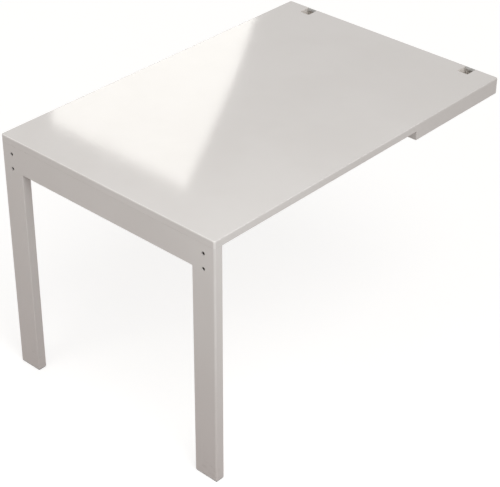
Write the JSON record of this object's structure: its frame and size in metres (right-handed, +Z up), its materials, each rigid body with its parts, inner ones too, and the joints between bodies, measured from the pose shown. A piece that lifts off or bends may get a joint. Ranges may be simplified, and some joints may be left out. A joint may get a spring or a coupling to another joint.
{
  "type": "wall mounted folding table",
  "caption": "White lacquered folding table: a top hinged to a wall rail swings up flat to the wall, and a leg frame under its outer end folds flat against the underside.",
  "frame": {"origin": "on the wall plane, at the middle of the wall-fixing holes in the rail", "axes": "+X across the table, the table stands out from the wall along -Y, +Z up"},
  "size_m": [0.8, 1.2205, 0.77],
  "materials": {
    "white_lacquer": "satin white lacquer",
    "hinge_steel": "satin nickel",
    "zinc_fasteners": "zinc plated",
    "black_bolts": "black oxide",
    "foot_pad": "matte",
    "dowel_wood": "bare beech"
  },
  "bodies": {
    "wall_mount": {"wall_rail": "white_lacquer", "wall_hinge_leaf_left": "hinge_steel", "wall_hinge_leaf_right": "hinge_steel", "wall_hinge_pin_left": "hinge_steel", "wall_hinge_pin_right": "hinge_steel", "wall_leaf_screws": "zinc_fasteners"},
    "tabletop": {"top_panel": "white_lacquer", "block_rear_rail": "white_lacquer", "block_front_rail": "white_lacquer", "block_left_rail": "white_lacquer", "block_right_rail": "white_lacquer", "block_middle_rail": "white_lacquer", "block_bottom_panel": "white_lacquer", "block_screws": "zinc_fasteners", "table_hinge_leaf_left": "hinge_steel", "table_hinge_leaf_right": "hinge_steel", "table_leaf_screws": "zinc_fasteners", "leg_hinge_top_leaf_left": "hinge_steel", "leg_hinge_top_leaf_right": "hinge_steel", "top_leaf_screws": "zinc_fasteners", "leg_hinge_pin_left": "hinge_steel", "leg_hinge_pin_right": "hinge_steel"},
    "leg_frame": {"left_leg": "white_lacquer", "right_leg": "white_lacquer", "apron": "white_lacquer", "apron_dowels": "dowel_wood", "leg_hinge_leg_leaf_left": "hinge_steel", "leg_hinge_leg_leaf_right": "hinge_steel", "leg_bolts": "black_bolts", "leg_sleeve_nuts": "zinc_fasteners", "foot_pad_left": "foot_pad", "foot_pad_right": "foot_pad"}
  },
  "joints": [
    {"name": "top_fold", "type": "hinge", "parent": "wall_mount", "child": "tabletop", "pos_m": [0, -0.0235, 0.0625], "axis": [-1, 0, 0], "range_deg": [0, 90]},
    {"name": "leg_fold", "type": "hinge", "parent": "tabletop", "child": "leg_frame", "pos_m": [0, -1.19175, 0.04725], "axis": [1, 0, 0], "range_deg": [0, 90]}
  ]
}
